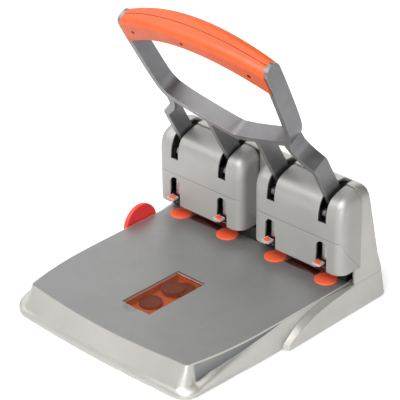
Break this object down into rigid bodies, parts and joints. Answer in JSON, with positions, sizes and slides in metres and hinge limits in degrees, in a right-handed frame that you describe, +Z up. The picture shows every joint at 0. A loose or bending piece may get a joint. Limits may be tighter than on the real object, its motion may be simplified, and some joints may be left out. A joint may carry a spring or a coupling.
{
  "type": "lever hole punch",
  "caption": "Heavy-duty desk paper punch: long looped lever over a row of sprung punches, wide paper table, side guide, spare-disc box and chip drawer.",
  "frame": {"origin": "centre of the machine's outer box on the desk plane, under its feet", "axes": "+X along the row of holes, to the right seen from where the paper goes in; +Y from the paper side towards the back; +Z up"},
  "size_m": [0.314, 0.3425, 0.3657],
  "materials": {
    "shell_plastic": "fine-grained light grey ABS",
    "cover_plastic": "fine-grained light grey ABS",
    "plate_plastic": "mid grey, satin",
    "tray_plastic": "dark grey base moulding",
    "well_plastic": "orange storage tray",
    "lid_plastic": "see-through dark orange",
    "disc_plastic": "orange cutting disc",
    "latch_plastic": "orange pad on a pale slide",
    "sleeve_steel": "bright turned guide sleeve",
    "grip_plastic": "orange, satin",
    "guide_plastic": "orange, satin",
    "guide_bar_plastic": "mid grey slide bar",
    "drawer_plastic": "dark grey drawer",
    "foot_rubber": "soft black rubber",
    "handle_metal": "satin cast alloy",
    "bush_brass": "turned bush",
    "shaft_steel": "ground bar",
    "frame_steel": "pressed sheet steel",
    "punch_steel": "hardened and ground",
    "spring_steel": "spring wire",
    "screw_steel": "plated screws"
  },
  "bodies": {
    "base": {"table_shell": "shell_plastic", "table_plate": "plate_plastic", "rear_body": "shell_plastic", "left_upper_cover": "cover_plastic", "right_upper_cover": "cover_plastic", "left_lower_cover": "cover_plastic", "right_lower_cover": "cover_plastic", "left_frame": "frame_steel", "right_frame": "frame_steel", "main_shaft": "shaft_steel", "shaft_clips": "shaft_steel", "anvil_plates": "frame_steel", "backstop": "disc_plastic", "throat_liner": "tray_plastic", "base_tray": "tray_plastic", "rubber_feet": "foot_rubber", "frame_screws": "screw_steel", "base_screws": "screw_steel", "accessory_tray": "well_plastic", "spare_discs": "disc_plastic", "lid_pin": "shaft_steel", "punch_sleeve_1": "sleeve_steel", "punch_sleeve_2": "sleeve_steel", "punch_sleeve_3": "sleeve_steel", "punch_sleeve_4": "sleeve_steel", "return_spring_1": "spring_steel", "return_spring_2": "spring_steel", "return_spring_3": "spring_steel", "return_spring_4": "spring_steel"},
    "lever": {"lever_frame": "handle_metal", "lever_bushes": "bush_brass", "crank_pins": "shaft_steel", "grip_front": "grip_plastic", "grip_rear": "grip_plastic", "grip_screws": "screw_steel"},
    "side_guide": {"guide_disc": "guide_plastic", "guide_bar": "guide_bar_plastic"},
    "lid": {"accessory_lid": "lid_plastic"},
    "drawer": {"chip_drawer": "drawer_plastic"},
    "punch_1": {"punch_pin_1": "punch_steel", "punch_head_1": "frame_steel"},
    "latch_1": {"latch_1": "latch_plastic"},
    "disc_1": {"cutting_disc_1": "disc_plastic"},
    "punch_2": {"punch_pin_2": "punch_steel", "punch_head_2": "frame_steel"},
    "latch_2": {"latch_2": "latch_plastic"},
    "disc_2": {"cutting_disc_2": "disc_plastic"},
    "punch_3": {"punch_pin_3": "punch_steel", "punch_head_3": "frame_steel"},
    "latch_3": {"latch_3": "latch_plastic"},
    "disc_3": {"cutting_disc_3": "disc_plastic"},
    "punch_4": {"punch_pin_4": "punch_steel", "punch_head_4": "frame_steel"},
    "latch_4": {"latch_4": "latch_plastic"},
    "disc_4": {"cutting_disc_4": "disc_plastic"}
  },
  "joints": [
    {"name": "lever_pull", "type": "hinge", "parent": "base", "child": "lever", "pos_m": [0, 0.13125, 0.114], "axis": [1, 0, 0], "range_deg": [0, 33]},
    {"name": "punch_1_stroke", "type": "slide", "parent": "base", "child": "punch_1", "axis": [0, 0, -1], "range_m": [0, 0.0208], "stiffness_N_per_m": 300, "springref_m": -0.03, "deforming": ["return_spring_1"]},
    {"name": "punch_2_stroke", "type": "slide", "parent": "base", "child": "punch_2", "axis": [0, 0, -1], "range_m": [0, 0.0208], "stiffness_N_per_m": 300, "springref_m": -0.03, "deforming": ["return_spring_2"]},
    {"name": "punch_3_stroke", "type": "slide", "parent": "base", "child": "punch_3", "axis": [0, 0, -1], "range_m": [0, 0.0208], "stiffness_N_per_m": 300, "springref_m": -0.03, "deforming": ["return_spring_3"]},
    {"name": "punch_4_stroke", "type": "slide", "parent": "base", "child": "punch_4", "axis": [0, 0, -1], "range_m": [0, 0.0208], "stiffness_N_per_m": 300, "springref_m": -0.03, "deforming": ["return_spring_4"]},
    {"name": "latch_1_slide", "type": "slide", "parent": "base", "child": "latch_1", "axis": [0, -1, 0], "range_m": [0, 0.004]},
    {"name": "latch_2_slide", "type": "slide", "parent": "base", "child": "latch_2", "axis": [0, -1, 0], "range_m": [0, 0.004]},
    {"name": "latch_3_slide", "type": "slide", "parent": "base", "child": "latch_3", "axis": [0, -1, 0], "range_m": [0, 0.004]},
    {"name": "latch_4_slide", "type": "slide", "parent": "base", "child": "latch_4", "axis": [0, -1, 0], "range_m": [0, 0.004]},
    {"name": "side_guide_slide", "type": "slide", "parent": "base", "child": "side_guide", "axis": [-1, 0, 0], "range_m": [0, 0.062]},
    {"name": "lid_hinge", "type": "hinge", "parent": "base", "child": "lid", "pos_m": [0, -0.01015, 0.0341], "axis": [-1, 0, 0], "range_deg": [0, 75]},
    {"name": "drawer_slide", "type": "slide", "parent": "base", "child": "drawer", "axis": [0, 1, 0], "range_m": [0, 0.03]},
    {"name": "disc_1_turn", "type": "hinge", "parent": "base", "child": "disc_1", "pos_m": [-0.12, 0.09625, 0.0372], "axis": [0, 0, 1], "continuous": true},
    {"name": "disc_2_turn", "type": "hinge", "parent": "base", "child": "disc_2", "pos_m": [-0.04, 0.09625, 0.0372], "axis": [0, 0, 1], "continuous": true},
    {"name": "disc_3_turn", "type": "hinge", "parent": "base", "child": "disc_3", "pos_m": [0.04, 0.09625, 0.0372], "axis": [0, 0, 1], "continuous": true},
    {"name": "disc_4_turn", "type": "hinge", "parent": "base", "child": "disc_4", "pos_m": [0.12, 0.09625, 0.0372], "axis": [0, 0, 1], "continuous": true}
  ],
  "couplings": [
    {"joint": "punch_1_stroke", "follows": "lever_pull", "m_per_rad": 0.035996},
    {"joint": "punch_2_stroke", "follows": "lever_pull", "m_per_rad": 0.035996},
    {"joint": "punch_3_stroke", "follows": "lever_pull", "m_per_rad": 0.035996},
    {"joint": "punch_4_stroke", "follows": "lever_pull", "m_per_rad": 0.035996}
  ]
}
